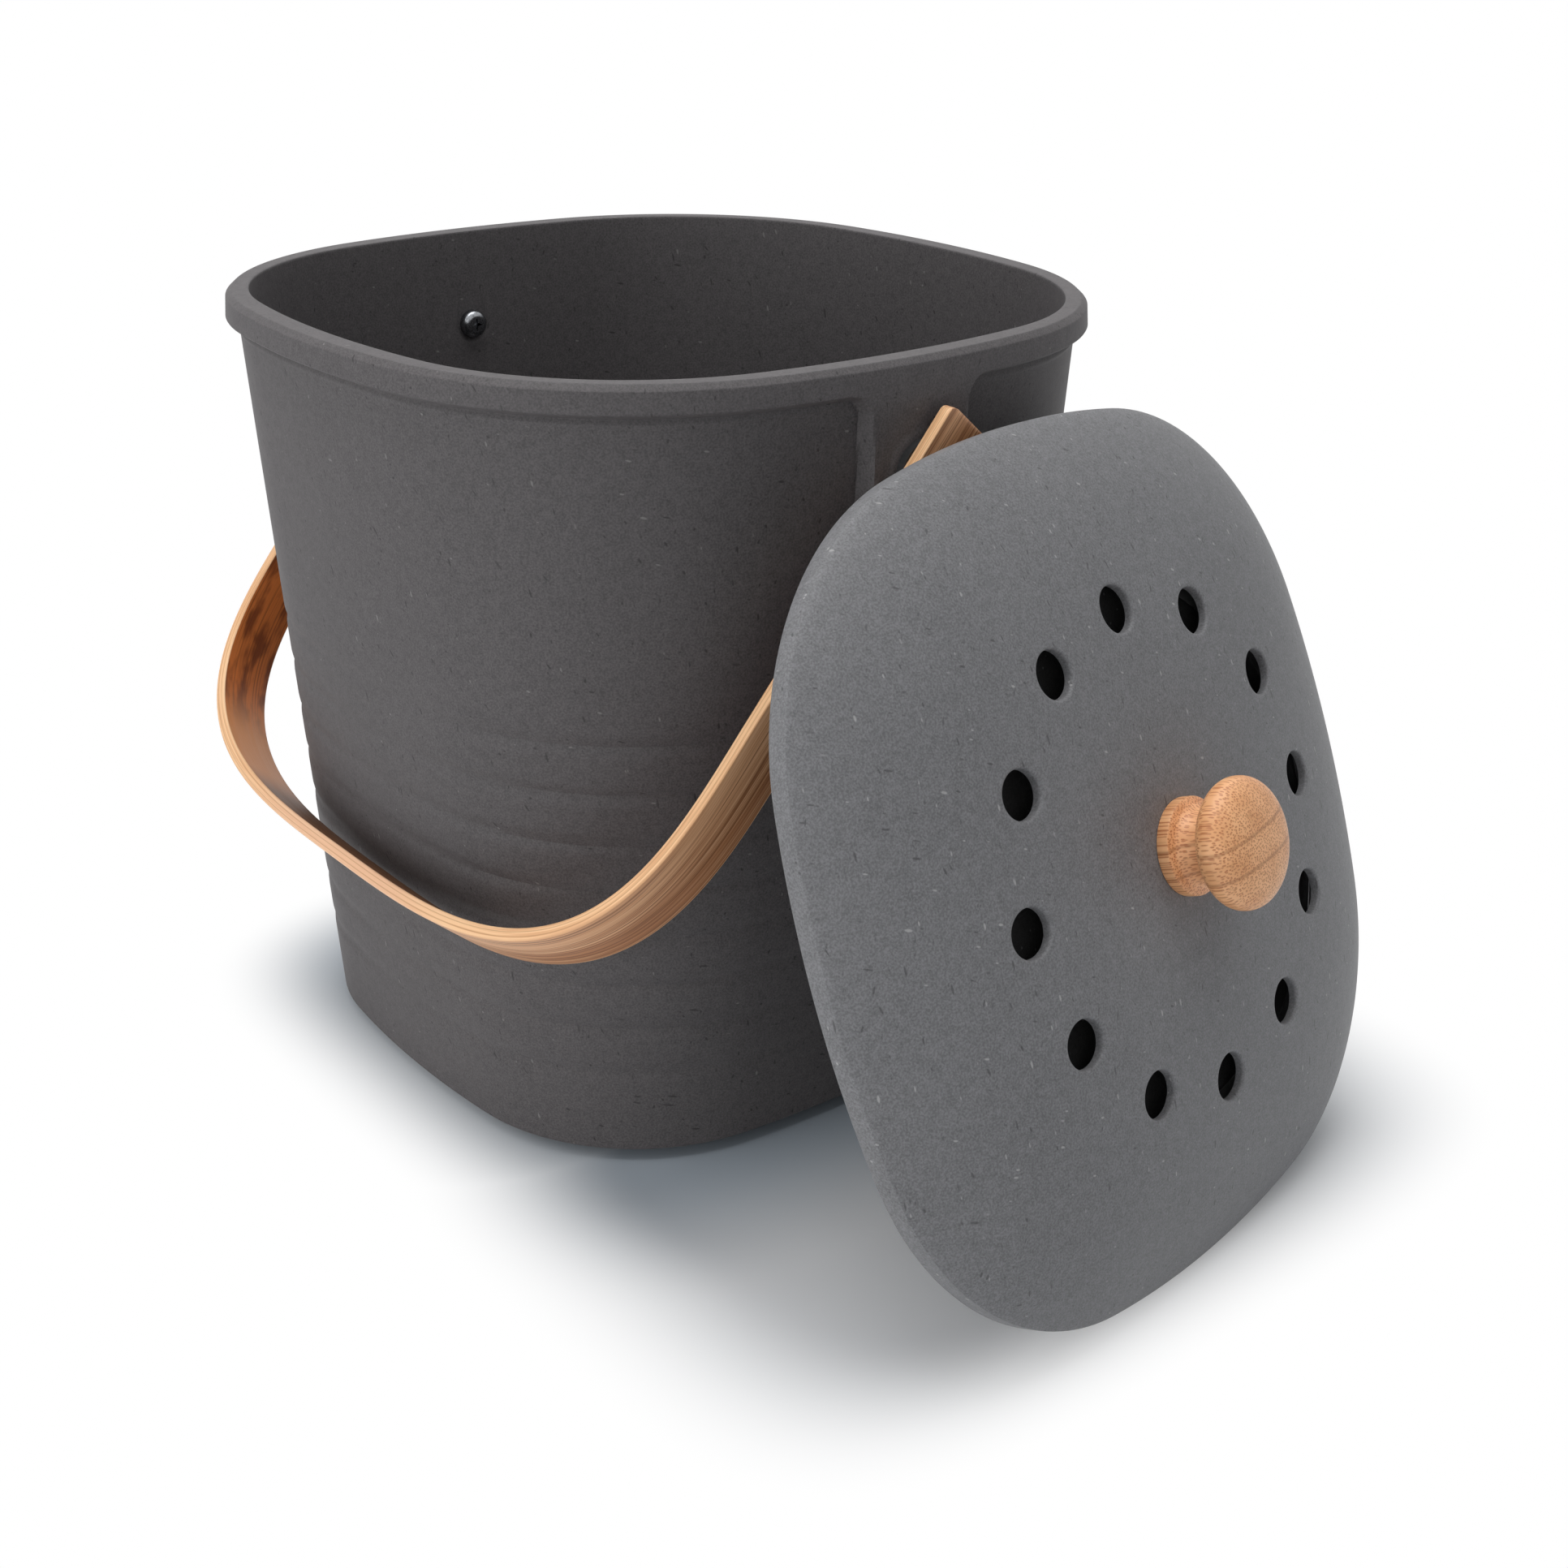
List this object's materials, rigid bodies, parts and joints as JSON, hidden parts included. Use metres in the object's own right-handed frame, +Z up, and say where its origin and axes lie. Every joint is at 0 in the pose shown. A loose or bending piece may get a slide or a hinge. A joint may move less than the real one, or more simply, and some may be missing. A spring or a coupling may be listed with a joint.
{
  "type": "compost caddy",
  "caption": "Kitchen compost caddy: tapered soft-square bin with a bent bamboo carrying handle and a loose domed lid with a turned knob, vents and a charcoal filter.",
  "frame": {"origin": "middle of the bin's flat underside, on the surface that it stands on", "axes": "+Z up; X along the handle's pivot axis, with the lid leaning on the +X side; the handle hangs in front, on the -Y side"},
  "size_m": [0.3071, 0.222, 0.204],
  "materials": {
    "bin_fibre": "matt dark grey bamboo-fibre composite with fine dark and pale flecks",
    "lid_fibre": "matt dark grey bamboo-fibre composite with fine dark and pale flecks",
    "handle_bamboo": "laminated bamboo strip, straight fine grain, satin lacquer",
    "knob_bamboo": "turned bamboo with dotted end grain, satin lacquer",
    "screw_steel": "polished stainless steel",
    "carbon_felt": "black activated-carbon felt",
    "moulded_black": "black moulded plastic, fine matt texture"
  },
  "bodies": {
    "bin": {"bin_body": "bin_fibre", "pivot_screw_left": "screw_steel", "pivot_screw_right": "screw_steel", "sleeve_nut_left": "screw_steel", "sleeve_nut_right": "screw_steel", "spacer_washer_left": "moulded_black", "spacer_washer_right": "moulded_black"},
    "handle": {"handle_strap": "handle_bamboo"},
    "lid": {"lid_shell": "lid_fibre", "lid_knob": "knob_bamboo", "knob_screw": "screw_steel", "knob_washer": "screw_steel", "filter_housing": "moulded_black", "charcoal_filter": "carbon_felt", "filter_retainer": "moulded_black"}
  },
  "joints": [
    {"name": "handle_swing", "type": "hinge", "parent": "bin", "child": "handle", "pos_m": [0, 0, 0.1778], "axis": [-1, 0, 0], "range_deg": [0, 200]},
    {"name": "lid_lift", "type": "slide", "parent": "bin", "child": "lid", "axis": [0, 0, 1], "range_m": [0, 0.215]}
  ]
}
